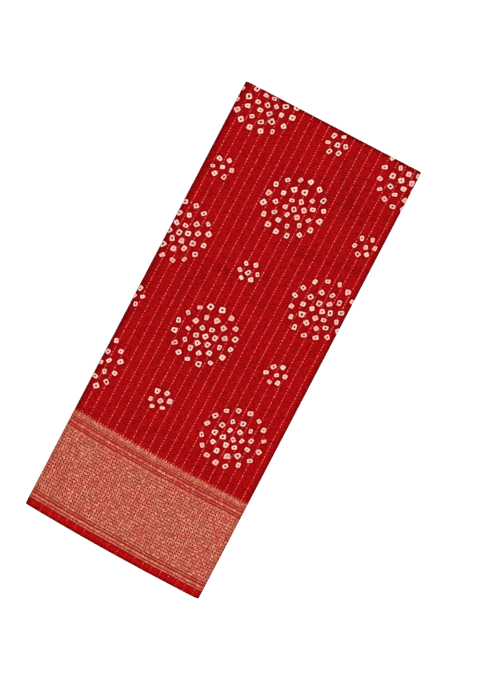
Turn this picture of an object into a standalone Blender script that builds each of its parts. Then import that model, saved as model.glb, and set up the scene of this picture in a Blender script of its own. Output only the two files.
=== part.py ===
"""Printed saree, folded flat: one length of cloth, doubled across its width, folded back
and forth into a narrow pack, and wrapped once with its own outer end.

Metres, +Z up. The origin is at the middle of the underside. X runs across the pack,
Y along it, with the doubled edge at +Y and the selvedges with their border at -Y.
"""

import bpy
import bmesh
import numpy as np

# The pack, as it lies
PACK_WIDTH = 0.230  # from fold to fold
LEFT_SIDE = 0.5555  # length of the long side at -X
RIGHT_SIDE = 0.5612  # length of the long side at +X
SELVEDGE_BOW = 0.00205  # how far the selvedge end swells out at mid width
SLANT = RIGHT_SIDE - LEFT_SIDE
FULLEST = 0.5 + SLANT / (8.0 * SELVEDGE_BOW)  # share of the width where the pack is longest
PACK_LENGTH = LEFT_SIDE + SLANT * FULLEST + SELVEDGE_BOW * 4.0 * FULLEST * (1.0 - FULLEST)

# The cloth: each layer of the pack is the saree doubled, its two plies face to face
LAYERS = 24
LAYER = 0.0010  # thickness of one doubled layer
GAP = 0.0003  # air between two layers
PITCH = LAYER + GAP
STACK = LAYERS * PITCH - GAP

# The folds run from the bottom up to WRAP, which turns up to the top layer round a core of
# six layers. The top layer turns down at the other side, and the cloth ends in the core.
TOP = LAYERS - 1
WRAP = TOP - 7
ORDER = [*range(WRAP + 1), TOP, *range(WRAP + 1, TOP)]
START_SHORT = 0.003  # the inner end, at the bottom, stops this far from the side
TUCK_SHORT = 0.009  # and the outer end, in the core, this far

# How unevenly the lower folds and ends lie behind the top layer
FOLD_INSET = 0.0014
FOLD_SPREAD = 0.0008
FOLD_SKEW = 0.0005
SELVEDGE_SPREAD = 0.0018
DOUBLED_SPREAD = 0.0012

# How the pack settles
DOUBLED_DROP = 0.0022  # the upper doubled edges roll down by this
DOUBLED_ROLL = 0.0065  # over this length
SELVEDGE_THIN = 0.035  # share of the height that is lost at the selvedge end
DOUBLED_SWELL = 0.015  # share that is gained where all the doubled edges lie on each other
WAVE = 0.008  # share of the height in the slow waves of the top
NOSE = 0.0005  # length over which a doubled edge is drawn in
NOSE_SHARE = 0.45  # and the share of the thickness that is left at its tip

# Divisions
SMALL_TURN_STEPS = 4
WRAP_TURN_STEPS = 10
RUN_STOPS = (0.0, 0.34, 0.66, 1.0)  # shares of a layer's run
LENGTH_STOPS = (0.0, 0.14, 0.36, 0.60, 0.84)  # shares of the length
ROLL_STOPS = (1.0, 0.5, 0.2)  # shares of DOUBLED_ROLL before the doubled edge

CLOTH_RED = (0.372, 0.0021, 0.0037, 1.0)  # linear, for a warm red
CLOTH_ROUGHNESS = 0.62


def height(layer):
    """Height of a layer's middle before the pack settles."""
    return 0.5 * LAYER + PITCH * layer


def lag(layer, tempo):
    """0 at the top layer, and up to 1 at the others, in no order that shows."""
    return 0.5 - 0.5 * np.cos(tempo * (layer - TOP))


def fold_reach(place, along):
    """How far from the middle a fold's outer face lies, at a share of the length.

    The wrap's two folds reach the sides. A fold in the core is as far out as the round
    fold that goes over it lets it be: both are circles, one inside the other.
    """
    side_reach = 0.5 * PACK_WIDTH
    here, after = ORDER[place], ORDER[place + 1]
    if TOP in (here, after):
        return side_reach
    skew = FOLD_SKEW * (2.0 * along - 1.0) * np.sin(1.7 * place + 0.4)
    uneven = FOLD_SPREAD * np.sin(2.4 * place + 0.7) + skew
    if here <= WRAP:
        return side_reach - FOLD_INSET - uneven
    over = WRAP if place % 2 == 0 else WRAP + 1
    over_radius = 0.5 * PITCH * (TOP - over)
    small_outer = 0.5 * (PITCH + LAYER)
    aside = 0.5 * PITCH * abs(here + after - over - TOP)
    room = over_radius - 0.5 * LAYER - small_outer - 1.5 * GAP
    inward = over_radius + 0.5 * LAYER - np.sqrt(max(room**2 - aside**2, 0.0)) - small_outer
    return side_reach - inward - 0.5 * abs(uneven)


def half_thickness(along):
    """Half a layer's thickness: full, and drawn in at the very tip of the doubled edge."""
    tip = along > 1.0 - 0.5 * NOSE / RIGHT_SIDE
    return 0.5 * LAYER * (NOSE_SHARE if tip else 1.0)


def section(along):
    """The back-and-forth section at a share of the length, before it settles.

    Returns rows of x, z, selvedge lag and doubled-edge lag for one face of the cloth and for
    the other. Runs are straight, and each fold is a half circle from one layer to the next.
    """
    half = half_thickness(along)
    start = -0.5 * PACK_WIDTH + START_SHORT
    one_face = []
    other_face = []
    for place, layer in enumerate(ORDER):
        side = 1.0 if place % 2 == 0 else -1.0
        z = height(layer)
        lags = np.array([lag(layer, 2.1), lag(layer, 2.6)])
        last = place == len(ORDER) - 1
        if last:
            end = -0.5 * PACK_WIDTH + TUCK_SHORT
        else:
            after = ORDER[place + 1]
            rise = height(after) - z
            up = np.sign(rise)
            radius = 0.5 * abs(rise)
            end = side * (fold_reach(place, along) - radius - 0.5 * LAYER)
        for share in RUN_STOPS:
            x = start + share * (end - start)
            one_face.append((x, z + side * half, *lags))
            other_face.append((x, z - side * half, *lags))
        if last:
            break
        lags_after = np.array([lag(after, 2.1), lag(after, 2.6)])
        steps = SMALL_TURN_STEPS if radius < PITCH else WRAP_TURN_STEPS
        for step in range(1, steps):
            angle = np.pi * (step / steps - 0.5)
            passed = lags + (lags_after - lags) * step / steps
            for face, lean in ((one_face, -side * up), (other_face, side * up)):
                r = radius + lean * half
                x = end + side * r * np.cos(angle)
                face.append((x, z + 0.5 * rise + up * r * np.sin(angle), *passed))
        start = end
    return np.array(one_face), np.array(other_face)


def placed(points, along):
    """Puts section points at their place in the settled pack: x, y and z for each."""
    x, z, selvedge_lag, doubled_lag = points.T
    across = x / PACK_WIDTH + 0.5
    side = LEFT_SIDE + SLANT * across + SELVEDGE_BOW * 4.0 * across * (1.0 - across)
    near = 0.5 * PACK_LENGTH - side + SELVEDGE_SPREAD * selvedge_lag
    far = 0.5 * PACK_LENGTH - DOUBLED_SPREAD * doubled_lag
    y = near + along * (far - near)

    rolled = np.clip(1.0 - (0.5 * PACK_LENGTH - y) / DOUBLED_ROLL, 0.0, 1.0)
    roll = 1.0 - np.sqrt(1.0 - rolled**2)
    waves = np.sin(7.0 * across + 3.1 * along) * np.sin(5.2 * along + 0.6)
    grown = DOUBLED_SWELL * along**3 - SELVEDGE_THIN * (1.0 - along) ** 2 + WAVE * waves
    settled = z * (1.0 + grown) - DOUBLED_DROP * (z / STACK) ** 2 * roll
    return np.stack([x, y, settled], axis=1)


def length_stops():
    """Shares of the length at which the section is set, closest at the doubled edge."""
    rolls = [1.0 - share * DOUBLED_ROLL / RIGHT_SIDE for share in ROLL_STOPS]
    return [*LENGTH_STOPS, *rolls, 1.0 - NOSE / RIGHT_SIDE, 1.0]


def saree_mesh():
    """One closed body: the section's outline at each stop, joined by quads, with end strips."""
    rings = []
    for along in length_stops():
        one, other = section(along)
        rings.append(np.concatenate([placed(one, along), placed(other, along)[::-1]]))
    ring_size = len(rings[0])
    points = np.concatenate(rings)
    here = np.arange(ring_size)
    ahead = (here + 1) % ring_size
    walls = [
        np.stack([here + a, ahead + a, ahead + a + ring_size, here + a + ring_size], axis=1)
        for a in range(0, len(points) - ring_size, ring_size)
    ]
    step = np.arange(ring_size // 2 - 1)
    mirror = ring_size - 1 - step
    near_cap = np.stack([step + 1, step, mirror, mirror - 1], axis=1)
    far_cap = near_cap[:, ::-1] + len(points) - ring_size
    faces = np.concatenate([*walls, near_cap, far_cap])

    mesh = bpy.data.meshes.new("saree_cloth")
    mesh.from_pydata(points.tolist(), [], faces.tolist())
    shape = bmesh.new()
    shape.from_mesh(mesh)
    bmesh.ops.recalc_face_normals(shape, faces=shape.faces)
    shape.to_mesh(mesh)
    shape.free()
    mesh.shade_smooth()
    mesh.set_sharp_from_angle(angle=np.radians(50))
    return mesh


def printed_cloth():
    """Red woven cloth, dyed and printed."""
    material = bpy.data.materials.new("printed_cloth")
    material.use_nodes = True
    shader = material.node_tree.nodes["Principled BSDF"]
    shader.inputs["Base Color"].default_value = CLOTH_RED
    shader.inputs["Roughness"].default_value = CLOTH_ROUGHNESS
    shader.inputs["Metallic"].default_value = 0.0
    material.diffuse_color = CLOTH_RED
    return material


def main():
    for thing in list(bpy.data.objects):
        bpy.data.objects.remove(thing)
    mesh = saree_mesh()
    mesh.materials.append(printed_cloth())
    cloth = bpy.data.objects.new("saree_cloth", mesh)
    bpy.context.scene.collection.objects.link(cloth)


main()
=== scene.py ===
"""Looks of the folded printed saree: one thin sheet on the folds of its solid, its dyed ground,
broken pin stripes, tie-dyed dots and metal-thread border, on a pale floor under soft light."""

import math

import bpy
import numpy as np
from bpy.props import FloatProperty, FloatVectorProperty, IntProperty, PointerProperty, StringProperty
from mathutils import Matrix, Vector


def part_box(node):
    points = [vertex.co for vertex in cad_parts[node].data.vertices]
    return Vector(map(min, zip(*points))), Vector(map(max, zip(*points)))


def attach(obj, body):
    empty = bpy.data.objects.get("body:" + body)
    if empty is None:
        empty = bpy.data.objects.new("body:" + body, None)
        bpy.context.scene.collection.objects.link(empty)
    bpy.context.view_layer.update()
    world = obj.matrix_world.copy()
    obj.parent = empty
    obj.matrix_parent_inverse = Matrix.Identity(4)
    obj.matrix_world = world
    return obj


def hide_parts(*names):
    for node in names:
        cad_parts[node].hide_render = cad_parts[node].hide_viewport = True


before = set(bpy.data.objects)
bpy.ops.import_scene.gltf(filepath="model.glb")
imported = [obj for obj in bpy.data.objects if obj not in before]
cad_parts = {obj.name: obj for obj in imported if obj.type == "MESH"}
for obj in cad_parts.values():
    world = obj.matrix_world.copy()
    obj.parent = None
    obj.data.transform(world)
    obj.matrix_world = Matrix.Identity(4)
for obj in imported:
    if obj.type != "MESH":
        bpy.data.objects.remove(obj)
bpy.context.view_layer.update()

bl_info = {
    "name": "Folded printed saree",
    "version": (1, 0, 0),
    "blender": (4, 5, 0),
    "location": "View3D > Sidebar > Saree",
    "description": "Builds a folded printed saree and the stage it is shown on",
    "category": "Add Mesh",
}

CLOTH_NODE = "saree_cloth"
LOW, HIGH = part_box(CLOTH_NODE)
PACK_WIDTH = HIGH.x - LOW.x
MM = 0.001

# The order of the layers, from the inner end of the cloth at the bottom: the layers up to WRAP
# lie back and forth, WRAP turns up round the six layers of the core to the top one, and from
# the top layer the cloth turns down again and ends in the core.
LAYERS = 24
TOP = LAYERS - 1
WRAP = TOP - 7
ORDER = [*range(WRAP + 1), TOP, *range(WRAP + 1, TOP)]


class SareeFolds(bpy.types.PropertyGroup):
    """Sizes of the cloth and of its folds."""

    left_side: FloatProperty(
        name="Left side", description="Length of the long side at -X", default=0.5555, unit="LENGTH"
    )
    right_side: FloatProperty(
        name="Right side", description="Length of the long side at +X", default=0.5612, unit="LENGTH"
    )
    selvedge_bow: FloatProperty(
        name="Selvedge bow",
        description="How far the selvedge end swells out at mid width",
        default=0.00205,
        unit="LENGTH",
    )
    cloth_width: FloatProperty(
        name="Cloth width",
        description="From selvedge to selvedge, laid flat",
        default=1.12,
        unit="LENGTH",
    )
    cloth_length: FloatProperty(
        name="Cloth length", description="From end to end, laid flat", default=5.52, unit="LENGTH"
    )
    layer: FloatProperty(
        name="Layer",
        description="Thickness of the doubled cloth as it lies",
        default=0.0010,
        unit="LENGTH",
    )
    gap: FloatProperty(
        name="Gap", description="Air between two doubled layers", default=0.0003, unit="LENGTH"
    )
    ply_lift: FloatProperty(
        name="Ply lift",
        description="How far each ply lies from the middle of its doubled layer",
        default=0.000325,
        unit="LENGTH",
    )
    ply: FloatProperty(
        name="Ply", description="Thickness of the cloth itself", default=0.0003, unit="LENGTH"
    )
    start_short: FloatProperty(
        name="Inner end",
        description="How far from the side the inner end stops",
        default=0.003,
        unit="LENGTH",
    )
    tuck_short: FloatProperty(
        name="Outer end",
        description="How far from the side the tucked end stops",
        default=0.009,
        unit="LENGTH",
    )
    fold_inset: FloatProperty(
        name="Fold inset",
        description="How far the lower folds lie behind the top",
        default=0.0014,
        unit="LENGTH",
    )
    fold_swell: FloatProperty(
        name="Fold swell",
        description="How far the wrap's folds swell out",
        default=0.0004,
        unit="LENGTH",
    )
    fold_spread: FloatProperty(
        name="Fold spread", description="How unevenly lower folds lie", default=0.0008, unit="LENGTH"
    )
    fold_skew: FloatProperty(
        name="Fold skew", description="How much a fold runs askew", default=0.0005, unit="LENGTH"
    )
    selvedge_spread: FloatProperty(
        name="Selvedge spread",
        description="How far lower selvedges lie back",
        default=0.0018,
        unit="LENGTH",
    )
    doubled_spread: FloatProperty(
        name="Doubled spread",
        description="How far lower doubled edges lie back",
        default=0.0012,
        unit="LENGTH",
    )
    doubled_drop: FloatProperty(
        name="Doubled drop",
        description="How far the doubled edges roll down",
        default=0.0022,
        unit="LENGTH",
    )
    doubled_roll: FloatProperty(
        name="Doubled roll",
        description="Length over which they roll down",
        default=0.0065,
        unit="LENGTH",
    )
    selvedge_thin: FloatProperty(
        name="Selvedge thin", description="Share of the height lost at the selvedge end", default=0.035
    )
    doubled_swell: FloatProperty(
        name="Doubled swell", description="Share of the height gained at the doubled end", default=0.015
    )
    wave: FloatProperty(name="Wave", description="Share of the height in slow waves", default=0.008)
    drift: FloatProperty(
        name="Drift",
        description="How far the stripes run askew over the length of the pack",
        default=0.0017,
        unit="LENGTH",
    )
    top_columns: IntProperty(
        name="Top columns", description="Divisions across the top layer", default=56
    )
    run_columns: IntProperty(
        name="Layer columns", description="Divisions across a lower layer", default=5
    )
    turn_columns: IntProperty(
        name="Fold columns", description="Divisions round a small fold", default=6
    )
    wrap_columns: IntProperty(
        name="Wrap columns", description="Divisions round a large fold", default=14
    )
    last_rows: IntProperty(
        name="Last rows", description="Divisions of the outer ply's last part", default=20
    )
    back_rows: IntProperty(name="Back rows", description="Divisions along the inner ply", default=24)


class SareePrint(bpy.types.PropertyGroup):
    """Sizes of the tie-dyed dots and the pin stripes."""

    step: FloatProperty(
        name="Step", description="From one motif to the next", default=0.0950, unit="LENGTH"
    )
    row: FloatProperty(
        name="Row", description="From one row to the next", default=0.0900, unit="LENGTH"
    )
    row_shift: FloatProperty(
        name="Row shift", description="How far each row down is moved", default=0.01105, unit="LENGTH"
    )
    first_across: FloatProperty(
        name="First motif", description="Its distance from the left side", default=0.0336, unit="LENGTH"
    )
    first_up: FloatProperty(
        name="First row",
        description="Its distance from the front selvedge",
        default=0.5458,
        unit="LENGTH",
    )
    rows_each_way: FloatProperty(
        name="Rows each way", description="Printed rows on each side of the first one", default=4.5
    )
    dot: FloatProperty(
        name="Dot", description="Half the width of a dot", default=0.00308, unit="LENGTH"
    )
    dot_spread: FloatProperty(
        name="Dot spread", description="How unevenly wide dots are", default=0.0007, unit="LENGTH"
    )
    small_less: FloatProperty(
        name="Small dots",
        description="How much less a small motif's dots reach",
        default=0.0002,
        unit="LENGTH",
    )
    stray: FloatProperty(
        name="Stray", description="How far a dot may stand off its ring", default=0.0009, unit="LENGTH"
    )
    small_shift: FloatVectorProperty(
        name="Small motif",
        description="How far small motifs stand back",
        default=(0.0014, 0.0001, 0.0),
        subtype="XYZ",
    )
    stretch: FloatProperty(name="Stretch", description="How far a motif is pulled askew", default=0.06)
    stripe: FloatProperty(
        name="Stripe pitch", description="From stripe to stripe", default=0.0112, unit="LENGTH"
    )
    stripe_first: FloatProperty(
        name="First stripe",
        description="Its distance from the left side",
        default=0.0096,
        unit="LENGTH",
    )
    stripe_width: FloatProperty(
        name="Stripe width", description="Half the width of a stripe", default=0.00038, unit="LENGTH"
    )


class SareeColours(bpy.types.PropertyGroup):
    """Colours of the dyes and threads, and of a painted sheen and a painted glint, as sRGB hex values.
    """

    ground: StringProperty(name="Ground", description="Dyed red ground", default="#9E070B")
    # Painted sheen: a paler red laid on the tops of some threads
    painted_sheen: StringProperty(
        name="Bloom", description="Tops of the threads, where dye is thin", default="#B06C6C"
    )
    ground_deep: StringProperty(
        name="Deep ground", description="Where the dye is deepest", default="#600001"
    )
    dot: StringProperty(name="Dot", description="Undyed cloth of a dot", default="#E0ABA1")
    dot_blush: StringProperty(name="Dot blush", description="Where dye has crept in", default="#CD827E")
    dot_core: StringProperty(name="Dot core", description="Dyed middle of a dot", default="#3A120C")
    gold: StringProperty(name="Metal thread", description="Rose-gold thread", default="#A2463A")
    gold_pale: StringProperty(
        name="Metal thread, pale", description="Where it is palest", default="#9A503B"
    )
    # Painted glint on some floats of metal thread, also the colour of the pin stripes where they cross
    # the border
    glint: StringProperty(
        name="Glint", description="Brightest floats of metal thread", default="#CA8A70"
    )
    border_ground: StringProperty(
        name="Border ground", description="Between bands of metal", default="#74140F"
    )
    figure_ground: StringProperty(
        name="Figure ground", description="In the figure's gaps", default="#580C08"
    )
    border_silk: StringProperty(
        name="Border silk", description="Red in with the metal", default="#A51D35"
    )
    stripe: StringProperty(name="Stripe thread", description="Pin stripe thread", default="#F05A57")


class SareeStage(bpy.types.PropertyGroup):
    """Camera, light and floor."""

    lens: FloatProperty(name="Lens", description="Focal length in mm", default=85.0)
    sensor: FloatProperty(name="Sensor", description="Long side of the sensor in mm", default=36.0)
    view_long: FloatProperty(
        name="View",
        description="Long side of what the camera sees at the cloth",
        default=0.7920,
        unit="LENGTH",
    )
    turn: FloatProperty(
        name="Turn",
        description="How far the camera is turned",
        default=math.radians(27.6),
        unit="ROTATION",
    )
    middle: FloatVectorProperty(
        name="Middle",
        description="Where the view's middle is",
        default=(0.0170, 0.0084),
        size=2,
        unit="LENGTH",
    )
    floor_size: FloatProperty(
        name="Floor", description="Side of the floor", default=40.0, unit="LENGTH"
    )
    floor_colour: StringProperty(name="Floor colour", description="Pale floor", default="#F7F7F5")
    lamp: FloatProperty(name="Lamp", description="Strength of the large lamp overhead", default=4.0)
    lamp_width: FloatProperty(
        name="Lamp width",
        description="How wide it looks from the floor",
        default=math.radians(24.0),
        unit="ROTATION",
    )
    lamp_tilt: FloatVectorProperty(
        name="Lamp tilt",
        description="How far it leans about X and Y",
        default=(0.0, 0.03, 0.0),
        subtype="EULER",
    )
    sky: FloatProperty(name="Sky", description="Strength of the even light", default=0.44)


def height(folds, layer):
    """Height of a layer's middle before the pack settles: half a layer, and a pitch for each below."""
    return 0.5 * folds.layer + (folds.layer + folds.gap) * layer


# How fast the lag changes from layer to layer, at the selvedges and at the doubled edge
SELVEDGE_TEMPO = 2.1
DOUBLED_TEMPO = 2.6


def edge_lags(layer):
    """How far a layer's selvedges and its doubled edge lie back, from 0 at the top layer to 1.

    Each is half of one minus the cosine of a tempo times the layer's rank from the top.
    """
    rank = layer - TOP
    return [0.5 - 0.5 * math.cos(tempo * rank) for tempo in (SELVEDGE_TEMPO, DOUBLED_TEMPO)]


def fold_reach(folds, place, along):
    """How far from the middle a fold's outer face lies, at shares of the length.

    The wrap's two folds reach the sides. A core fold is as far out as the round fold over it
    lets it be, which is one circle inside another. The others lie back by an inset, uneven by
    two sines of the fold's place in the pack.
    """
    side_reach = 0.5 * PACK_WIDTH
    here, after = ORDER[place], ORDER[place + 1]
    if TOP in (here, after):
        return np.full_like(along, side_reach + folds.fold_swell)
    turned_by, spread_by = math.sin(1.7 * place + 0.4), math.sin(2.4 * place + 0.7)
    skew = folds.fold_skew * (2.0 * along - 1.0) * turned_by
    uneven = folds.fold_spread * spread_by + skew
    if here <= WRAP:
        return side_reach - folds.fold_inset - uneven
    pitch = folds.layer + folds.gap
    over = WRAP if place % 2 == 0 else WRAP + 1
    over_radius = 0.5 * pitch * (TOP - over)
    small_outer = 0.5 * (pitch + folds.layer)
    aside = 0.5 * pitch * abs(here + after - over - TOP)
    room = over_radius - 0.5 * folds.layer - small_outer - 1.5 * folds.gap
    bulge = math.sqrt(max(room**2 - aside**2, 0.0))
    inward = over_radius + 0.5 * folds.layer - bulge - small_outer
    return side_reach - inward - 0.5 * np.abs(uneven)


# Columns of the top layer crowd round the creases at this share of its width, by this much
CROWDED = 0.56
CROWD = 0.075


def crowding(share):
    """How far a column is drawn aside: a sine of its share of the width, nought at the creases."""
    return CROWD * np.sin(2.0 * math.pi * (share - CROWDED))


def cloth_path(folds, along):
    """The doubled cloth's middle line for every row, as x, z, outward x and z, and two lags.

    Runs are straight and level. Each fold is a half circle from one layer's height to the
    next, stepped by equal angles. Outward points to the side of the outer ply.
    """
    parts = []
    level = np.zeros_like(along)
    start = -0.5 * PACK_WIDTH + folds.start_short + level
    for place, layer in enumerate(ORDER):
        side = 1.0 if place % 2 == 0 else -1.0
        z = height(folds, layer)
        lags = edge_lags(layer)
        last = place == len(ORDER) - 1
        if last:
            end = -0.5 * PACK_WIDTH + folds.tuck_short + level
        else:
            after = ORDER[place + 1]
            rise = height(folds, after) - z
            radius = 0.5 * abs(rise)
            end = side * (fold_reach(folds, place, along) - radius - 0.5 * folds.layer)
        columns = folds.top_columns if layer == TOP else folds.run_columns
        share = np.linspace(0.0, 1.0, columns + 1)[None, :]
        if layer == TOP:
            share = share - crowding(share) + crowding(0.0)
        flat = np.zeros((len(along), columns + 1))
        x = start + share * (end - start)
        parts.append((x, flat + z, flat, flat - side, flat + lags[0], flat + lags[1]))
        if last:
            break
        steps = folds.turn_columns if radius < folds.layer + folds.gap else folds.wrap_columns
        passed = np.arange(1, steps)[None, :] / steps
        angle = math.pi * (passed - 0.5) + level
        up = math.copysign(1.0, rise)
        x = end + side * radius * np.cos(angle)
        turned = z + 0.5 * rise + up * radius * np.sin(angle)
        between = [a + (b - a) * passed + level for a, b in zip(lags, edge_lags(after))]
        parts.append((x, turned, up * np.cos(angle), side * np.sin(angle), *between))
        start = end
    return [np.concatenate(row, axis=1) for row in zip(*parts)]


# Creases of the top layers, in mm: middle across and along from the pack's middle, half length,
# half width, depth, and the way they run in degrees from the short side
CREASES = (
    # across, along, half length, half width, depth, turn
    (-44.0, 74.4, 30.0, 2.8, 0.40, -1.5),
    (15.5, 84.7, 18.0, 2.4, 0.48, -57.0),
    (-22.0, 66.0, 9.0, 2.0, 0.30, -70.0),
    (66.0, 137.0, 48.0, 4.0, 0.26, 9.0),
    (40.0, 128.0, 20.0, 3.0, 0.18, -30.0),
    (-66.0, 40.0, 26.0, 10.0, 0.22, 60.0),
    (-106.0, 24.0, 34.0, 5.0, 0.26, 86.0),
    (20.0, 205.0, 70.0, 14.0, 0.16, 1.0),
    (50.0, 222.0, 34.0, 9.0, 0.22, -62.0),
    (-20.0, -22.0, 80.0, 16.0, 0.14, 4.0),
    (20.0, -140.0, 110.0, 12.0, 0.16, -3.0),
)


def creases(x, y):
    """Sum of soft troughs: each a bell across its line, times a bell along it."""
    total = np.zeros_like(x)
    for across, along, half_length, half_width, depth, turn in CREASES:
        c, s = math.cos(math.radians(turn)), math.sin(math.radians(turn))
        dx, dy = x / MM - across, y / MM - along
        on_line = (c * dx + s * dy) / half_length
        off_line = (c * dy - s * dx) / half_width
        total -= depth * MM * np.exp(-(off_line**2) - on_line**4)
    return total


def side_length(folds, across):
    """Length of the pack at a share of its width: a straight slant plus a bow."""
    slant = folds.right_side - folds.left_side
    return folds.left_side + slant * across + folds.selvedge_bow * 4.0 * across * (1.0 - across)


# How far the inner ply's selvedge lies back from the outer one's, and how unevenly
INNER_BACK = 0.0011
INNER_UNEVEN = 0.0005


def settle(folds, x, z, selvedge_lag, doubled_lag, along, back):
    """Places path points in the settled pack: y between its ends, and the height as it lies.

    The height grows or shrinks by a share: a cube of the length where the doubled edges lie, a
    square of it at the selvedges, and slow waves. The upper doubled edges roll down by an arc,
    and the creases fade from the top layer down by a fourth power of the height.
    """
    stack = LAYERS * (folds.layer + folds.gap) - folds.gap
    half_long = HIGH.y
    across = x / PACK_WIDTH + 0.5
    back_lag = (INNER_BACK + INNER_UNEVEN * np.sin(31.0 * across)) * back
    near = half_long - side_length(folds, across) + folds.selvedge_spread * selvedge_lag + back_lag
    far = half_long - folds.doubled_spread * doubled_lag
    y = near + along * (far - near)
    rolled = np.clip(1.0 - (half_long - y) / folds.doubled_roll, 0.0, 1.0)
    roll = 1.0 - np.sqrt(1.0 - rolled**2)
    waves = np.sin(7.0 * across + 3.1 * along) * np.sin(5.2 * along + 0.6)
    swelled, thinned = folds.doubled_swell * along**3, folds.selvedge_thin * (1.0 - along) ** 2
    grown = swelled - thinned + folds.wave * waves
    settled = z * (1.0 + grown) - folds.doubled_drop * (z / stack) ** 2 * roll
    settled += creases(x, y) * np.clip(z / stack, 0.0, 1.0) ** 4
    return y, settled


# Divisions along the outer ply, closest where the sharp creases are
FRONT_ROWS = (
    # up to this share of the length, rows
    (0.610, 42),
    (0.695, 24),
    (0.725, 3),
    (0.775, 9),
)

# Rows where the doubled edge rolls down, and steps round the edge itself
ROLL_ROWS = 6
NOSE_STEPS = 6


def row_shares(folds):
    """Rows across the cloth: shares of the length, ply lift from -1 to 1, and 0 front or 1 back.

    Rows are closer at the doubled edge, where the lift goes from outer to inner ply by a cosine
    while the share swells by a sine: a half circle round the fold.
    """
    nose = folds.ply_lift / folds.right_side
    roll = folds.doubled_roll / folds.right_side
    flat_to = 1.0 - roll
    rolled = 1.0 - roll * (1.0 - np.linspace(0.2, 1.0, ROLL_ROWS)) ** 1.5
    stops = [0.0, *(stop for stop, rows in FRONT_ROWS), flat_to]
    counts = [*(rows for stop, rows in FRONT_ROWS), folds.last_rows]
    flat_rows = [np.linspace(a, b, n, endpoint=False) for a, b, n in zip(stops, stops[1:], counts)]
    front = np.concatenate([*flat_rows, [flat_to], rolled])
    back = np.concatenate([np.linspace(0.0, flat_to, folds.back_rows), rolled])
    turn = np.linspace(0.0, math.pi, NOSE_STEPS + 1)[1:-1]
    tip = 1.0 - nose
    along = np.concatenate([front * tip, tip + nose * np.sin(turn), back[::-1] * tip])
    lift = np.concatenate([np.ones(len(front)), np.cos(turn), -np.ones(len(back))])
    is_back = np.concatenate([np.zeros(len(front)), 0.5 - 0.5 * np.cos(turn), np.ones(len(back))])
    return along[:, None], lift[:, None], is_back[:, None]


# How far in from the left, the right and the doubled edge shade is painted on the cloth, and over what
# length it grows; how deep a crease would take the full painted shade, and the most painted shade that
# one takes; and the width of the rim along each side, which light grazes, and how much more painted
# shade darkens it
PAINTED_SHADE_LEFT, PAINTED_SHADE_RIGHT, PAINTED_SHADE_END = 0.0059, 0.0049, 0.0055
SIDE_RAMP, END_RAMP = 0.0046, 0.0040
CREASE_FULL_SHADE, MOST_CREASE_SHADE = 0.0010, 0.5
RIM, RIM_DARKER = 0.0016, 0.6


def smooth_step(share):
    """A ramp from 0 to 1 with a soft start and end: three times the square less twice the cube."""
    held = np.clip(share, 0.0, 1.0)
    return held * held * (3.0 - 2.0 * held)


def painted_edge_shade(x, y, out_z):
    """How much painted shade darkens the cloth: 0 in the open, 1 at its edges, more at the rim.

    It is a smooth step to each side and to the doubled edge, less on the upright faces, and
    along the creases by their depth. The three shares left over are multiplied.
    """
    from_side = 0.5 * PACK_WIDTH - np.abs(x)
    reach = np.where(x < 0.0, PAINTED_SHADE_LEFT, PAINTED_SHADE_RIGHT)
    facing = 0.25 + 0.75 * np.abs(out_z)
    near_side = smooth_step((reach - from_side) / SIDE_RAMP) * facing
    near_end = smooth_step((PAINTED_SHADE_END - (HIGH.y - y)) / END_RAMP)
    creased = np.clip(-creases(x, y) / CREASE_FULL_SHADE, 0.0, MOST_CREASE_SHADE)
    rim = np.clip(1.0 - from_side / RIM, 0.0, 1.0) * np.clip(out_z, 0.0, 1.0)
    return 1.0 - (1.0 - near_side) * (1.0 - near_end) * (1.0 - creased) + RIM_DARKER * rim


def sheet_surface(folds):
    """The saree as one open sheet on a grid: columns along the cloth, rows across it.

    A point is the path's point plus its outward side times the ply's lift. The UV map is the
    distance in metres along the cloth from the pack's left side, and across from the selvedge.
    The distance along is counted from the column nearest the middle of the top layer.
    """
    along, lift, back = row_shares(folds)
    x, z, out_x, out_z, selvedge_lag, doubled_lag = cloth_path(folds, along)
    # Measured on one row of the outer ply; a step down counts ten times a step aside, so that
    # the column nearest the middle is one of the top layer's
    row = len(along) // 3
    path_x, path_z = x[row], z[row]
    travelled = np.concatenate([[0.0], np.cumsum(np.hypot(np.diff(path_x), np.diff(path_z)))])
    on_top = int(np.argmin(np.abs(path_x) + 10.0 * (HIGH.z - path_z)))
    from_left = travelled[on_top] - travelled + path_x[on_top] + 0.5 * PACK_WIDTH

    x = x + folds.ply_lift * lift * out_x
    z = z + folds.ply_lift * lift * out_z
    y, z = settle(folds, x, z, selvedge_lag, doubled_lag, along, back)
    side = side_length(folds, x / PACK_WIDTH + 0.5)
    front_across = along * side
    back_across = folds.cloth_width - along * (folds.cloth_width - side)
    v = np.where(back > 0.5, back_across, front_across)
    u = from_left[None, :] + folds.drift * (1.0 - along)
    # The last part returned is the painted shade along the folds, creases and rims
    return np.stack([x, y, z], axis=-1), np.stack([u, v], axis=-1), painted_edge_shade(x, y, out_z)


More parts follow.
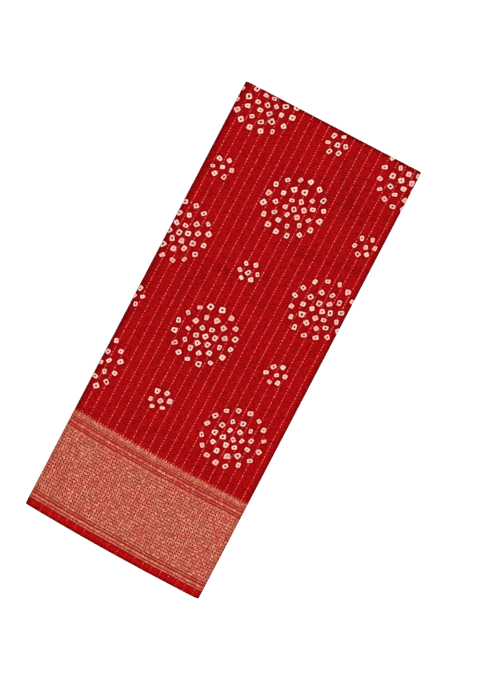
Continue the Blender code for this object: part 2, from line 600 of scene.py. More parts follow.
def grid_mesh(name, points, uv, fold):
    """A mesh of quads from a grid of points, with its UV map and the painted shade along its folds,
    creases and rims.
    """
    rows, columns = points.shape[:2]
    index = np.arange(rows * columns).reshape(rows, columns)
    corners = [index[:-1, :-1], index[:-1, 1:], index[1:, 1:], index[1:, :-1]]
    quads = np.stack(corners, axis=-1).reshape(-1, 4)
    mesh = bpy.data.meshes.new(name)
    mesh.vertices.add(rows * columns)
    mesh.vertices.foreach_set("co", points.astype(np.float32).ravel())
    mesh.loops.add(quads.size)
    mesh.loops.foreach_set("vertex_index", quads.astype(np.int32).ravel())
    mesh.polygons.add(len(quads))
    mesh.polygons.foreach_set("loop_start", np.arange(0, quads.size, 4, dtype=np.int32))
    mesh.update(calc_edges=True)
    layer = mesh.uv_layers.new(name="cloth")
    layer.data.foreach_set("uv", uv.reshape(-1, 2)[quads.ravel()].astype(np.float32).ravel())
    # The fold attribute holds painted shade along the folds, creases and rims
    folded = mesh.attributes.new("fold", "FLOAT", "POINT")
    folded.data.foreach_set("value", fold.astype(np.float32).ravel())
    mesh.shade_smooth()
    return mesh


def linear(hex_colour):
    """Linear RGBA of an sRGB hex value: the usual power curve with its straight foot."""
    channels = np.array([int(hex_colour[i : i + 2], 16) for i in (1, 3, 5)]) / 255.0
    curve = np.where(channels <= 0.04045, channels / 12.92, ((channels + 0.055) / 1.055) ** 2.4)
    return (*curve.tolist(), 1.0)


def add(tree, kind, inputs=None, out=0, **settings):
    """Adds a node, sets its properties, sets or links its inputs, and gives one of its outputs."""
    node = tree.nodes.new("ShaderNode" + kind)
    for key, value in settings.items():
        setattr(node, key, value)
    for key, value in (inputs or {}).items():
        if isinstance(value, bpy.types.NodeSocket):
            tree.links.new(value, node.inputs[key])
        else:
            node.inputs[key].default_value = value
    return node.outputs[out] if len(node.outputs) else None


def inside_dot(group, offset, chances, other_chances, motif):
    """How far inside a tied dot a point is, in mm, from its offset to the dot's middle.

    Chances draw how the dot is turned, how wide and how long it is. Its edge is a rounded
    square: a power sum of the offset's two parts, the second squeezed more towards one end.
    """
    drawn = add(group, "SeparateXYZ", {0: other_chances})
    drawn_length, drawn_width = drawn.node.outputs[1], drawn.node.outputs[2]
    spin = add(group, "Math", {0: drawn, 1: math.pi}, operation="MULTIPLY")
    turned = add(group, "VectorRotate", {0: offset, "Angle": spin}, rotation_type="Z_AXIS")
    size = add(group, "VectorMath", {0: turned}, operation="ABSOLUTE")
    long_side = add(group, "SeparateXYZ", {0: size})
    short_side = long_side.node.outputs[1]
    # Squeezed by 0.95 to 1.45, and by up to 0.09 more or less for each mm towards one end, but
    # never below 0.6, so that far from the dot the power still has a base above nought
    squeeze = add(group, "Math", {0: drawn_length, 1: 0.50, 2: 0.95}, operation="MULTIPLY_ADD")
    lengthways = add(group, "SeparateXYZ", {0: turned})
    lean_chance = add(group, "SeparateXYZ", {0: chances}, out=2)
    lean = add(group, "Math", {0: lean_chance, 1: 0.18, 2: -0.09}, operation="MULTIPLY_ADD")
    wedge = add(group, "Math", {0: lengthways, 1: lean, 2: squeeze}, operation="MULTIPLY_ADD")
    narrowing = add(group, "Math", {0: wedge, 1: 0.6}, operation="MAXIMUM")
    squeezed = add(group, "Math", {0: short_side, 1: narrowing}, operation="MULTIPLY")
    roundness = 4.2
    power_x = add(group, "Math", {0: long_side, 1: roundness}, operation="POWER")
    power_y = add(group, "Math", {0: squeezed, 1: roundness}, operation="POWER")
    total = add(group, "Math", {0: power_x, 1: power_y}, operation="ADD")
    far = add(group, "Math", {0: total, 1: 1.0 / roundness}, operation="POWER")
    spread, least = motif.dot_spread / MM, (motif.dot - 0.5 * motif.dot_spread) / MM
    width = add(group, "Math", {0: drawn_width, 1: spread, 2: least}, operation="MULTIPLY_ADD")
    return add(group, "Math", {0: width, 1: far}, operation="SUBTRACT")


def ring_of_dots(motif):
    """Node group for one ring of tied dots: how far inside a dot a point is, and its chances.

    The angle picks the nearest of the evenly spaced dots, and that dot's number draws its
    chances and how far it strays from its place on the circle.
    """
    group = bpy.data.node_groups.new("ring of tied dots", "ShaderNodeTree")
    face = group.interface
    face.new_socket("Place", in_out="INPUT", socket_type="NodeSocketVector")
    for name in ("Dots", "Radius", "First", "Ring", "Motif"):
        face.new_socket(name, in_out="INPUT", socket_type="NodeSocketFloat")
    face.new_socket("Inside", in_out="OUTPUT", socket_type="NodeSocketFloat")
    face.new_socket("Chances", in_out="OUTPUT", socket_type="NodeSocketVector")
    given = group.nodes.new("NodeGroupInput").outputs
    made = group.nodes.new("NodeGroupOutput").inputs
    place, dots = given["Place"], given["Dots"]
    x = add(group, "SeparateXYZ", {0: place})
    y = x.node.outputs[1]
    angle = add(group, "Math", {0: y, 1: x}, operation="ARCTAN2")
    past = add(group, "Math", {0: angle, 1: given["First"]}, operation="SUBTRACT")
    pitch = add(group, "Math", {0: 2.0 * math.pi, 1: dots}, operation="DIVIDE")
    turns = add(group, "Math", {0: past, 1: pitch}, operation="DIVIDE")
    number = add(group, "Math", {0: turns}, operation="ROUND")
    own = add(group, "Math", {0: number, 1: dots}, operation="FLOORED_MODULO")
    key = add(group, "CombineXYZ", {0: own, 1: given["Ring"], 2: given["Motif"]})
    chances = add(group, "TexWhiteNoise", {0: key}, out="Color", noise_dimensions="3D")
    other_key = add(group, "VectorMath", {0: key, 1: (17.3, 5.1, 0.0)}, operation="ADD")
    other_chances = add(group, "TexWhiteNoise", {0: other_key}, out="Color", noise_dimensions="3D")
    turn = add(group, "Math", {0: number, 1: pitch, 2: given["First"]}, operation="MULTIPLY_ADD")
    cosine = add(group, "Math", {0: turn}, operation="COSINE")
    sine = add(group, "Math", {0: turn}, operation="SINE")
    way = add(group, "CombineXYZ", {0: cosine, 1: sine})
    centre = add(group, "VectorMath", {0: way, "Scale": given["Radius"]}, operation="SCALE")
    span = 2.0 * motif.stray / MM
    reach = (span, span, 0.0)
    back = (-0.5 * span, -0.5 * span, 0.0)
    stray = add(group, "VectorMath", {0: chances, 1: reach, 2: back}, operation="MULTIPLY_ADD")
    off = add(group, "VectorMath", {0: place, 1: centre}, operation="SUBTRACT")
    offset = add(group, "VectorMath", {0: off, 1: stray}, operation="SUBTRACT")
    inside = inside_dot(group, offset, chances, other_chances, motif)
    group.links.new(inside, made["Inside"])
    group.links.new(chances, made["Chances"])
    return group


# Rings of a large motif, from its middle, in mm and degrees; a small one has the first two
SMALL_RINGS = 2
RINGS = (
    # dots, radius, first angle, middle across, middle up
    (1.0, 0.0, 0.0, 1.7, -2.1),
    (6.0, 10.8, 13.0, 1.1, -1.9),
    (11.0, 21.8, 20.0, 0.6, -1.6),
    (16.0, 34.7, -4.5, 0.0, -0.6),
)

# Bands of the border from the selvedge up, in mm: where each starts, how much of its face is metal
# thread, and how much red silk is woven in with it; the wide figured one is the field
FIELD_FROM, FIELD_TO = 20.3, 102.1
BANDS = (
    # start, metal, red
    (0.0, 0.0, 0.0),
    (10.1, 0.95, 0.18),
    (11.5, 0.0, 0.0),
    (13.0, 0.94, 0.0),
    (15.9, 0.0, 0.0),
    (17.8, 0.76, 0.0),
    (19.2, 0.12, 0.0),
    (FIELD_FROM, 1.0, 0.0),
    (FIELD_TO, 0.82, 0.0),
    (104.7, 0.06, 0.0),
    (106.9, 0.74, 0.36),
    (108.2, 0.0, 0.0),
    (109.6, 0.92, 0.42),
    (112.4, 0.07, 0.0),
    (114.4, 0.66, 0.42),
    (115.7, 0.12, 0.30),
    (117.0, 0.76, 0.12),
    (118.5, 0.34, 0.0),
    (119.7, 0.76, 0.0),
)

# Where the border starts and its teeth begin, how wide and high a tooth is, and one repeat of
# the field's figure, in mm
BORDER_FROM, BORDER_TO = 8.9, 123.5
TOOTH = 3.4
FIGURE_ACROSS, FIGURE_UP = 6.73, 7.33

# Wave of the plain weave in mm: in its relief about twice the real spacing, because a finer one
# can't show, and in its colour coarser still, as the unevenness shows at this distance
RELIEF_WEAVE = 0.9
COLOUR_WEAVE = 3.8


def thread_grain(tree, flat):
    """Two chances, from 0 to 1, for each short float of a thread, 1.3 mm along and 1.1 mm across.

    Real floats are finer; these are as coarse as they need to be to show.
    """
    per_float = (1.0 / 1.3, 1.0 / 1.1, 0.0)
    floats = add(tree, "VectorMath", {0: flat, 1: per_float}, operation="MULTIPLY")
    snapped = add(tree, "VectorMath", {0: floats}, operation="FLOOR")
    drawn = add(tree, "TexWhiteNoise", {0: snapped}, out="Color", noise_dimensions="2D")
    first = add(tree, "SeparateXYZ", {0: drawn})
    return first, first.node.outputs[1]


# How bright the red is towards the selvedge, by the distance from it in mm
SELVEDGE = (
    # distance, brightness
    (0.0, 0.70),
    (1.8, 0.78),
    (4.6, 1.20),
    (6.0, 1.23),
    (8.2, 0.97),
    (10.0, 1.0),
)


def weave(tree, across, up, spacing):
    """Plain weave, from -1 to 1: a sine across times a sine along, one wave to a spacing in mm."""
    per_mm = 2.0 * math.pi / spacing
    warp = add(tree, "Math", {0: across, 1: per_mm}, operation="MULTIPLY")
    warp_wave = add(tree, "Math", {0: warp}, operation="SINE")
    weft = add(tree, "Math", {0: up, 1: per_mm}, operation="MULTIPLY")
    weft_wave = add(tree, "Math", {0: weft}, operation="SINE")
    return add(tree, "Math", {0: weft_wave, 1: warp_wave}, operation="MULTIPLY")


def dyed_ground(tree, flat, edge, fold, grain, sparkle, crossing, colours):
    """Red dye, a little uneven: streaks along the warp, the weave, and the grain of the threads.

    A painted sheen lightens the tops of some threads, and painted shade darkens it along the folds,
    creases and rims. Near the selvedge its brightness follows a curve.
    """
    # Streaks are about 3 mm wide and 80 mm long, and mottling is about 1 mm
    streak_per_mm = (0.30, 0.012, 0.0)
    long_place = add(tree, "VectorMath", {0: flat, 1: streak_per_mm}, operation="MULTIPLY")
    streak = add(tree, "TexNoise", {0: long_place, "Scale": 1.0, "Detail": 3.0})
    mottle = add(tree, "TexNoise", {0: flat, "Scale": 0.9, "Detail": 3.0, "Roughness": 0.75})
    streaky, grainy, woven = 0.15, 0.72, 0.15
    streaked = add(tree, "Math", {0: streak, 1: streaky, 2: mottle}, operation="MULTIPLY_ADD")
    grained = add(tree, "Math", {0: grain, 1: grainy, 2: streaked}, operation="MULTIPLY_ADD")
    uneven = add(tree, "Math", {0: crossing, 1: woven, 2: grained}, operation="MULTIPLY_ADD")
    dye = add(tree, "MapRange", {0: uneven, 1: 0.425, 2: 1.445})
    deep, full = linear(colours.ground_deep), linear(colours.ground)
    red = add(tree, "Mix", {0: dye, 6: deep, 7: full}, out=2, data_type="RGBA")
    # Painted sheen on the tops of the threads whose second chance is high
    thin = add(tree, "MapRange", {0: sparkle, 1: 0.3, 2: 1.0, 4: 0.014})
    dyed = add(tree, "Mix", {0: thin, 6: red, 7: linear(colours.painted_sheen)}, out=2, data_type="RGBA")
    # The curve's own range is 0 to 1, so it holds half the brightness, and open cloth takes that twice
    # over, with cloth under full painted shade nearer to once
    reach = SELVEDGE[-1][0]
    share = add(tree, "Math", {0: edge, 1: reach}, operation="DIVIDE", use_clamp=True)
    bright = add(tree, "FloatCurve", {1: share})
    curve = bright.node.mapping.curves[0]
    for point, (distance, level) in zip(curve.points, (SELVEDGE[0], SELVEDGE[-1])):
        point.location = (distance / reach, 0.5 * level)
    for distance, level in SELVEDGE[1:-1]:
        curve.points.new(distance / reach, 0.5 * level)
    bright.node.mapping.update()
    # Painted shade along the folds, creases and rims lowers the brightness
    painted_shade_factor = add(tree, "MapRange", {0: fold, 3: 2.0, 4: 0.96}, clamp=False)
    level = add(tree, "Math", {0: bright, 1: painted_shade_factor}, operation="MULTIPLY")
    return add(tree, "VectorMath", {0: dyed, "Scale": level}, operation="SCALE")


def pin_stripes(tree, across, up, sparkle, motif):
    """How much a point lies on a pin stripe, from 0 to 1.

    The nearest stripe's number draws how far it stands off its place. Its thread shows in short
    floats, about one to each 3.5 mm by a sine that slow noise pushes on or back.
    """
    stands_off, float_pitch = 0.6, 3.5
    pitch, first, half = motif.stripe / MM, motif.stripe_first / MM, motif.stripe_width / MM
    at = add(tree, "Math", {0: across, 1: first}, operation="SUBTRACT")
    turn = add(tree, "Math", {0: at, 1: pitch}, operation="DIVIDE")
    number = add(tree, "Math", {0: turn}, operation="ROUND")
    chance = add(tree, "TexWhiteNoise", {1: number}, noise_dimensions="1D")
    middle = add(tree, "Math", {0: number, 1: pitch, 2: -stands_off}, operation="MULTIPLY_ADD")
    own = add(tree, "Math", {0: chance, 1: 2.0 * stands_off, 2: middle}, operation="MULTIPLY_ADD")
    off = add(tree, "Math", {0: at, 1: own}, operation="SUBTRACT")
    far = add(tree, "Math", {0: off}, operation="ABSOLUTE")
    line = add(tree, "MapRange", {0: far, 1: 1.3 * half, 2: 0.7 * half})
    sideways = add(tree, "Math", {0: number, 1: 7.3}, operation="MULTIPLY")
    long_place = add(tree, "CombineXYZ", {0: sideways, 1: up})
    slow = add(tree, "TexNoise", {0: long_place, "Scale": 0.15, "Detail": 2.0})
    pushed = add(tree, "Math", {0: slow, 1: 6.5, 2: up}, operation="MULTIPLY_ADD")
    turns = add(tree, "Math", {0: pushed, 1: 2.0 * math.pi / float_pitch}, operation="MULTIPLY")
    beat = add(tree, "Math", {0: turns}, operation="SINE")
    broken = add(tree, "MapRange", {0: beat, 1: -0.1, 2: 0.9, 3: 0.05, 4: 1.9})
    float_share = add(tree, "MapRange", {0: sparkle, 1: 0.30, 2: 1.0, 3: 0.25, 4: 2.1})
    shown = add(tree, "Math", {0: broken, 1: float_share}, operation="MULTIPLY")
    return add(tree, "Math", {0: line, 1: shown}, operation="MULTIPLY")


def motif_place(tree, across, up, motif):
    """Where a point lies in its motif in mm, 1 if that is small, 1 if it is printed, its number.

    Rows go down from the first, each moved sideways, and large and small motifs take turns.
    The cloth is pulled a little askew, which draws each motif out along one diagonal.
    """
    row_pitch, step = motif.row / MM, motif.step / MM
    down = add(tree, "Math", {0: motif.first_up / MM, 1: up}, operation="SUBTRACT")
    row_turn = add(tree, "Math", {0: down, 1: row_pitch}, operation="DIVIDE")
    row = add(tree, "Math", {0: row_turn}, operation="ROUND")
    moved = add(tree, "Math", {0: row, 1: motif.row_shift / MM, 2: across}, operation="MULTIPLY_ADD")
    past = add(tree, "Math", {0: moved, 1: motif.first_across / MM}, operation="SUBTRACT")
    column_turn = add(tree, "Math", {0: past, 1: step}, operation="DIVIDE")
    column = add(tree, "Math", {0: column_turn}, operation="ROUND")
    x = add(tree, "Math", {0: column, 1: -step, 2: past}, operation="MULTIPLY_ADD")
    below = add(tree, "Math", {0: row, 1: -row_pitch, 2: down}, operation="MULTIPLY_ADD")
    y = add(tree, "Math", {0: below, 1: -1.0}, operation="MULTIPLY")
    square = add(tree, "CombineXYZ", {0: x, 1: y})
    crossed = add(tree, "CombineXYZ", {0: y, 1: x})
    askew = (-motif.stretch, -motif.stretch, 0.0)
    pulled = add(tree, "VectorMath", {0: crossed, 1: askew, 2: square}, operation="MULTIPLY_ADD")
    count = add(tree, "Math", {0: row, 1: column}, operation="ADD")
    small = add(tree, "Math", {0: count, 1: 2.0}, operation="FLOORED_MODULO")
    set_back = tuple(move / MM for move in motif.small_shift)
    place = add(tree, "VectorMath", {0: small, 1: set_back, 2: pulled}, operation="MULTIPLY_ADD")
    rows_off = add(tree, "Math", {0: row_turn}, operation="ABSOLUTE")
    printed = add(tree, "Math", {0: rows_off, 1: motif.rows_each_way}, operation="LESS_THAN")
    # A row has fewer than eleven motifs on the top, so neighbours there never share a number
    number = add(tree, "Math", {0: row, 1: 11.0, 2: column}, operation="MULTIPLY_ADD")
    return place, small, printed, number


# Farther outside a dot than any point, in mm, for one that isn't there
NO_DOT = -100.0


def tied_dots(tree, across, up, motif):
    """How far inside the nearest dot a point is, in mm, and that dot's chances.

    It is the most of what the rings give, with the outer rings left out of a small motif.
    """
    in_motif, small, printed, motif_number = motif_place(tree, across, up, motif)
    ring = ring_of_dots(motif)
    inside, chances = None, None
    for number, (dots, radius, first, middle_x, middle_y) in enumerate(RINGS):
        middle = (-middle_x, -middle_y, 0.0)
        place = add(tree, "VectorMath", {0: in_motif, 1: middle}, operation="ADD")
        sizes = {"Dots": dots, "Radius": radius, "First": math.radians(first), "Ring": number}
        given = {"Place": place, "Motif": motif_number, **sizes}
        circle = add(tree, "Group", given, out="Inside", node_tree=ring)
        drawn = circle.node.outputs["Chances"]
        if number >= SMALL_RINGS:
            circle = add(tree, "Math", {0: small, 1: NO_DOT, 2: circle}, operation="MULTIPLY_ADD")
        if inside is None:
            inside, chances = circle, drawn
            continue
        nearer = add(tree, "Math", {0: circle, 1: inside}, operation="GREATER_THAN")
        chances = add(tree, "Mix", {0: nearer, 4: chances, 5: drawn}, out=1, data_type="VECTOR")
        inside = add(tree, "Math", {0: circle, 1: inside}, operation="MAXIMUM")
    less = -motif.small_less / MM
    sized = add(tree, "Math", {0: small, 1: less, 2: inside}, operation="MULTIPLY_ADD")
    unprinted = add(tree, "Math", {0: printed, 1: -NO_DOT, 2: NO_DOT}, operation="MULTIPLY_ADD")
    return add(tree, "Math", {0: sized, 1: unprinted}, operation="ADD"), chances


def dyed_dots(tree, flat, ground, inside, chances, colours):
    """Ground with its dots: a darker rim where dye gathers, undyed cloth, and a dyed middle.

    Each follows how far inside the dot a point is: the rim starts 3.2 mm outside, and the
    middle 1.55 to 2.25 mm inside. Dots whose chance is high are blushed, with a fainter middle.
    """
    rim = add(tree, "MapRange", {0: inside, 1: -3.2, 2: -0.1, 3: 0.0, 4: 0.75})
    deep = linear(colours.ground_deep)
    rimmed = add(tree, "Mix", {0: rim, 6: ground, 7: deep}, out=2, data_type="RGBA")
    chance = add(tree, "SeparateXYZ", {0: chances})
    other_chance = chance.node.outputs[1]
    undyed, blush = linear(colours.dot), linear(colours.dot_blush)
    patches = add(tree, "TexNoise", {0: flat, "Scale": 0.4, "Detail": 2.0})
    crept = add(tree, "Math", {0: chance, 1: 0.3, 2: patches}, operation="MULTIPLY_ADD")
    blushed = add(tree, "MapRange", {0: crept, 1: 0.5, 2: 0.9})
    cloth = add(tree, "Mix", {0: blushed, 6: undyed, 7: blush}, out=2, data_type="RGBA")
    core_edge = add(tree, "Math", {0: other_chance, 1: 0.7, 2: 1.55}, operation="MULTIPLY_ADD")
    core_in = add(tree, "Math", {0: inside, 1: core_edge}, operation="SUBTRACT")
    strength = add(tree, "MapRange", {0: chance, 1: 0.65, 2: 1.0, 3: 1.0, 4: 0.4})
    core = add(tree, "MapRange", {0: core_in, 1: -0.15, 2: 0.25, 4: strength})
    dyed = linear(colours.dot_core)
    cored = add(tree, "Mix", {0: core, 6: cloth, 7: dyed}, out=2, data_type="RGBA")
    face = add(tree, "MapRange", {0: inside, 1: -0.12, 2: 0.18})
    return add(tree, "Mix", {0: face, 6: rimmed, 7: cored}, out=2, data_type="RGBA"), face


def field_figure(tree, across, edge):
    """Diaper of the border's field: what it takes from the metal thread, from 0 to 1.

    Folding the place back and forth at half a repeat leaves one quarter of it. A slanting leaf
    of bare ground, an ellipse about 3 mm by 1.2 mm, lies across that quarter's middle, and a
    small round eye at two of its corners.
    """
    half_x, half_y = 0.5 * FIGURE_ACROSS, 0.5 * FIGURE_UP
    x = add(tree, "Math", {0: across, 1: half_x}, operation="PINGPONG")
    y = add(tree, "Math", {0: edge, 1: half_y}, operation="PINGPONG")
    place = add(tree, "CombineXYZ", {0: x, 1: y})
    middle = (-0.5 * half_x, -0.5 * half_y, 0.0)
    from_leaf = add(tree, "VectorMath", {0: place, 1: middle}, operation="ADD")
    turn = {0: from_leaf, "Angle": math.radians(47.0)}
    turned = add(tree, "VectorRotate", turn, rotation_type="Z_AXIS")
    leaf_shape = (1.0 / 1.5, 1.0 / 0.62, 0.0)
    scaled = add(tree, "VectorMath", {0: turned, 1: leaf_shape}, operation="MULTIPLY")
    leaf_far = add(tree, "VectorMath", {0: scaled}, out="Value", operation="LENGTH")
    leaf = add(tree, "MapRange", {0: leaf_far, 1: 1.3, 2: 0.8})
    eye_far = add(tree, "VectorMath", {0: place}, out="Value", operation="LENGTH")
    from_corner = add(tree, "VectorMath", {0: place, 1: (half_x, half_y, 0.0)}, operation="SUBTRACT")
    corner_far = add(tree, "VectorMath", {0: from_corner}, out="Value", operation="LENGTH")
    nearest = add(tree, "Math", {0: eye_far, 1: corner_far}, operation="MINIMUM")
    eye = add(tree, "MapRange", {0: nearest, 1: 0.7, 2: 0.4, 4: 0.35})
    return add(tree, "Math", {0: leaf, 1: eye}, operation="ADD", use_clamp=True)


def border_metal(tree, across, edge, in_field, grain):
    """How much of the face is metal thread, and how much red is in that, both from 0 to 1.

    A ramp with steps gives both by the distance from the selvedge. The field's figure and the
    threads' grain then take some of the metal away.
    """
    reach = BANDS[-1][0] + 1.0
    share = add(tree, "Math", {0: edge, 1: reach}, operation="DIVIDE")
    bands = add(tree, "ValToRGB", {0: share})
    ramp = bands.node.color_ramp
    ramp.interpolation = "CONSTANT"
    while len(ramp.elements) < len(BANDS):
        ramp.elements.new(1.0)
    for stop, (start, metal, red) in zip(ramp.elements, BANDS):
        stop.position = start / reach
        stop.color = (metal, red, 0.0, 1.0)
    metal_here = add(tree, "SeparateXYZ", {0: bands})
    red_here = metal_here.node.outputs[1]
    figure = add(tree, "Math", {0: field_figure(tree, across, edge), 1: in_field}, operation="MULTIPLY")
    bare = add(tree, "Math", {0: 1.0, 1: figure}, operation="SUBTRACT")
    figured = add(tree, "Math", {0: metal_here, 1: bare}, operation="MULTIPLY")
    uneven = add(tree, "Math", {0: grain, 1: 0.8, 2: 0.52}, operation="MULTIPLY_ADD")
    return add(tree, "Math", {0: figured, 1: uneven}, operation="MULTIPLY", use_clamp=True), red_here


def border_cloth(tree, flat, across, edge, grain, sparkle, stripe, colours):
    """Colour of the border, and how much of it is metal thread.

    The thread's tone drifts slowly between two golds, with red silk in some bands and a painted glint
    on a float here and there. Between the floats the ground shows, darker in the figured field.
    """
    middle, half = 0.5 * (FIELD_FROM + FIELD_TO), 0.5 * (FIELD_TO - FIELD_FROM)
    in_field = add(tree, "Math", {0: edge, 1: middle, 2: half}, operation="COMPARE")
    metal_share, red_share = border_metal(tree, across, edge, in_field, grain)
    broad = add(tree, "TexNoise", {0: flat, "Scale": 0.035, "Detail": 3.0})
    tone = add(tree, "MapRange", {0: broad, 1: 0.35, 2: 0.65})
    golds = {0: tone, 6: linear(colours.gold), 7: linear(colours.gold_pale)}
    gold = add(tree, "Mix", golds, out=2, data_type="RGBA")
    silk = linear(colours.border_silk)
    thread = add(tree, "Mix", {0: red_share, 6: gold, 7: silk}, out=2, data_type="RGBA")
    # Painted glint on the floats whose second chance is highest
    glint = add(tree, "MapRange", {0: sparkle, 1: 0.70, 2: 1.0, 4: 1.0})
    lit = {0: stripe, 1: 0.9, 2: glint}
    bright = add(tree, "Math", lit, operation="MULTIPLY_ADD", use_clamp=True)
    floats = {0: bright, 6: thread, 7: linear(colours.glint)}
    metal = add(tree, "Mix", floats, out=2, data_type="RGBA")
    grounds = {0: in_field, 6: linear(colours.border_ground), 7: linear(colours.figure_ground)}
    ground = add(tree, "Mix", grounds, out=2, data_type="RGBA")
    woven = add(tree, "Mix", {0: metal_share, 6: ground, 7: metal}, out=2, data_type="RGBA")
    return woven, metal_share


def border_mask(tree, across, edge):
    """1 in the border: above the plain selvedge, and below a row of thin teeth.

    A tooth's tip rises by a power of the share of its half width, so it is thin and hollow sided.
    """
    soft = 0.2
    turn = add(tree, "Math", {0: across, 1: 0.5 * TOOTH}, operation="PINGPONG")
    share = add(tree, "Math", {0: turn, 1: 0.5 * TOOTH}, operation="DIVIDE")
    thin = add(tree, "Math", {0: share, 1: 2.2}, operation="POWER")
    tip = add(tree, "Math", {0: thin, 1: TOOTH, 2: BORDER_TO}, operation="MULTIPLY_ADD")
    below = add(tree, "Math", {0: tip, 1: edge}, operation="SUBTRACT")
    upper = add(tree, "MapRange", {0: below, 1: -soft, 2: soft})
    lower = add(tree, "MapRange", {0: edge, 1: BORDER_FROM - soft, 2: BORDER_FROM + soft})
    return add(tree, "Math", {0: upper, 1: lower}, operation="MULTIPLY")


def thread_relief(tree, across, up, metal, dot, stripe):
    """Height of the threads: a fine plain weave, with metal, dots and stripes standing up from it.

    Each stands up by so many times the weave's own height from middle to top.
    """
    height_here = weave(tree, across, up, RELIEF_WEAVE)
    for raised, by in ((metal, 2.4), (dot, 1.8), (stripe, 1.2)):
        height_here = add(tree, "Math", {0: raised, 1: by, 2: height_here}, operation="MULTIPLY_ADD")
    return height_here


def woven_print(folds, motif, colours):
    """Art-silk and cotton saree cloth with metal-thread border, woven, then tie-dyed.

    It is plain woven with fine threads, so it is nearly matt with a faint grain. The metal
    thread is flat and glints a little. A tied dot keeps the undyed cream with a dyed middle.
    """
    material = bpy.data.materials.new("art_silk_tie_dyed_with_metal_thread")
    material.use_nodes = True
    tree = material.node_tree
    tree.nodes.clear()
    uv = add(tree, "UVMap", uv_map="cloth")
    flat = add(tree, "VectorMath", {0: uv, "Scale": 1.0 / MM}, operation="SCALE")
    # Threads wander by half a millimetre over a hand's width
    wander = add(tree, "TexNoise", {0: flat, "Scale": 0.016, "Detail": 2.0}, out="Color")
    aside, back = (1.6, 1.8, 0.0), (-0.8, -0.9, 0.0)
    shift = add(tree, "VectorMath", {0: wander, 1: aside, 2: back}, operation="MULTIPLY_ADD")
    place = add(tree, "VectorMath", {0: flat, 1: shift}, operation="ADD")
    across = add(tree, "SeparateXYZ", {0: place})
    up = across.node.outputs[1]
    other = add(tree, "Math", {0: folds.cloth_width / MM, 1: up}, operation="SUBTRACT")
    edge = add(tree, "Math", {0: up, 1: other}, operation="MINIMUM")

    grain, sparkle = thread_grain(tree, flat)
    # Painted shade along the folds, creases and rims, stored on the mesh
    fold = add(tree, "Attribute", attribute_name="fold", out="Fac")
    crossing = weave(tree, across, up, COLOUR_WEAVE)
    ground = dyed_ground(tree, flat, edge, fold, grain, sparkle, crossing, colours)
    stripe = pin_stripes(tree, across, up, sparkle, motif)
    thread = linear(colours.stripe)
    in_body = add(tree, "MapRange", {0: edge, 1: 6.0, 2: 10.0, 3: 0.2, 4: 0.95})
    shown = add(tree, "Math", {0: stripe, 1: in_body}, operation="MULTIPLY")
    striped = add(tree, "Mix", {0: shown, 6: ground, 7: thread}, out=2, data_type="RGBA")
    inside, chances = tied_dots(tree, across, up, motif)
    body, dot = dyed_dots(tree, flat, striped, inside, chances, colours)

    border, metal_share = border_cloth(tree, flat, across, edge, grain, sparkle, stripe, colours)
    in_border = border_mask(tree, across, edge)
    metal = add(tree, "Math", {0: metal_share, 1: in_border}, operation="MULTIPLY")
    colour = add(tree, "Mix", {0: in_border, 6: body, 7: border}, out=2, data_type="RGBA")

    metallic = add(tree, "Math", {0: metal, 1: 0.25}, operation="MULTIPLY")
    rough = add(tree, "Math", {0: metal, 1: -0.14, 2: 0.68}, operation="MULTIPLY_ADD")
    relief = thread_relief(tree, across, up, metal, dot, stripe)
    bump = add(tree, "Bump", {"Strength": 0.5, "Distance": 0.00005, "Height": relief})
    # Fine dyed fibres scatter nearly all their light, so hardly any sheen lies over the colour;
    # the metal thread is foil wound on silk, so only a quarter of it acts as bare metal
    surface = {"Base Color": colour, "Metallic": metallic, "Roughness": rough, "Normal": bump}
    shader = add(tree, "BsdfPrincipled", surface)
    shader.node.inputs["Specular IOR Level"].default_value = 0.005
    shader.node.inputs["IOR"].default_value = 1.5
    add(tree, "OutputMaterial", {0: shader})
    return material


class SAREE_OT_cloth(bpy.types.Operator):
    """Build the folded saree as one thin printed sheet"""

    bl_idname = "saree.cloth"
    bl_label = "Folded saree"

    def execute(self, context):
        scene = context.scene
        folds, motif, colours = scene.saree_folds, scene.saree_print, scene.saree_colours
        # fold is the painted shade along the folds, creases and rims
        points, uv, fold = sheet_surface(folds)
        mesh = grid_mesh("folded_saree", points, uv, fold)
        mesh.materials.append(woven_print(folds, motif, colours))
        cloth = bpy.data.objects.new("folded_saree", mesh)
        scene.collection.objects.link(cloth)
        wall = cloth.modifiers.new("ply", "SOLIDIFY")
        wall.thickness = folds.ply
        wall.offset = 0.0
        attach(cloth, "root")
        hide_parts(CLOTH_NODE)
        return {"FINISHED"}


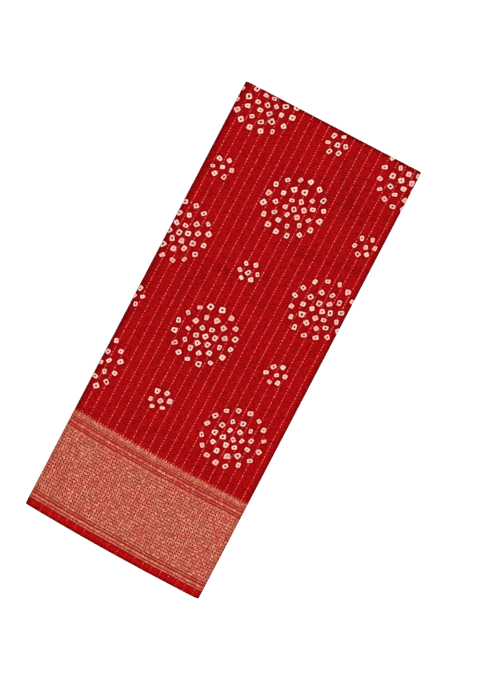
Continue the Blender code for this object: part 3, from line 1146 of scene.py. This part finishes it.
class SAREE_OT_stage(bpy.types.Operator):
    """Set the pale floor, the soft light and the camera that looks straight down"""

    bl_idname = "saree.stage"
    bl_label = "Stage"

    def execute(self, context):
        stage = context.scene.saree_stage
        half = 0.5 * stage.floor_size
        corners = [(-half, -half, 0.0), (half, -half, 0.0), (half, half, 0.0), (-half, half, 0.0)]
        floor_mesh = bpy.data.meshes.new("floor")
        floor_mesh.from_pydata(corners, [], [(0, 1, 2, 3)])
        floor = bpy.data.objects.new("floor", floor_mesh)
        context.scene.collection.objects.link(floor)
        # Painted matt: it scatters light evenly, so it gives a plain pale ground with no gloss
        paint = bpy.data.materials.new("matt_white_board")
        paint.use_nodes = True
        board = paint.node_tree.nodes["Principled BSDF"]
        board.inputs["Base Color"].default_value = linear(stage.floor_colour)
        board.inputs["Roughness"].default_value = 0.9
        board.inputs["Specular IOR Level"].default_value = 0.0
        floor_mesh.materials.append(paint)

        lamp_data = bpy.data.lights.new("large_soft_lamp", "SUN")
        lamp_data.angle = stage.lamp_width
        lamp_data.energy = stage.lamp
        lamp = bpy.data.objects.new("large_soft_lamp", lamp_data)
        lamp.rotation_euler = stage.lamp_tilt
        context.scene.collection.objects.link(lamp)

        world = bpy.data.worlds.new("even_light")
        world.use_nodes = True
        sky = world.node_tree.nodes["Background"]
        sky.inputs["Color"].default_value = (1.0, 1.0, 1.0, 1.0)
        sky.inputs["Strength"].default_value = stage.sky
        context.scene.world = world
        context.scene.view_settings.view_transform = "Standard"

        camera_data = bpy.data.cameras.new("camera")
        camera_data.lens = stage.lens
        camera_data.sensor_width = stage.sensor
        camera = bpy.data.objects.new("camera", camera_data)
        distance = stage.view_long * stage.lens / stage.sensor
        camera.location = (*stage.middle, HIGH.z + distance)
        camera.rotation_euler = (0.0, 0.0, stage.turn)
        context.scene.collection.objects.link(camera)
        context.scene.camera = camera
        return {"FINISHED"}


class SAREE_PT_panel(bpy.types.Panel):
    """Lists the pieces and their sizes"""

    bl_label = "Folded saree"
    bl_idname = "SAREE_PT_panel"
    bl_space_type = "VIEW_3D"
    bl_region_type = "UI"
    bl_category = "Saree"

    def draw(self, context):
        scene = context.scene
        of_cloth = (scene.saree_folds, scene.saree_print, scene.saree_colours)
        for operator, groups in (("saree.cloth", of_cloth), ("saree.stage", (scene.saree_stage,))):
            self.layout.operator(operator)
            for group in groups:
                for name in group.__annotations__:
                    self.layout.prop(group, name)


GROUPS = {
    "saree_folds": SareeFolds,
    "saree_print": SareePrint,
    "saree_colours": SareeColours,
    "saree_stage": SareeStage,
}
CLASSES = (*GROUPS.values(), SAREE_OT_cloth, SAREE_OT_stage, SAREE_PT_panel)


def register():
    for cls in CLASSES:
        bpy.utils.register_class(cls)
    for name, cls in GROUPS.items():
        setattr(bpy.types.Scene, name, PointerProperty(type=cls))


def unregister():
    for name in GROUPS:
        delattr(bpy.types.Scene, name)
    for cls in reversed(CLASSES):
        bpy.utils.unregister_class(cls)


def main():
    register()
    bpy.ops.saree.stage()
    bpy.ops.saree.cloth()
    bpy.context.view_layer.update()


if __name__ == "__main__":
    main()
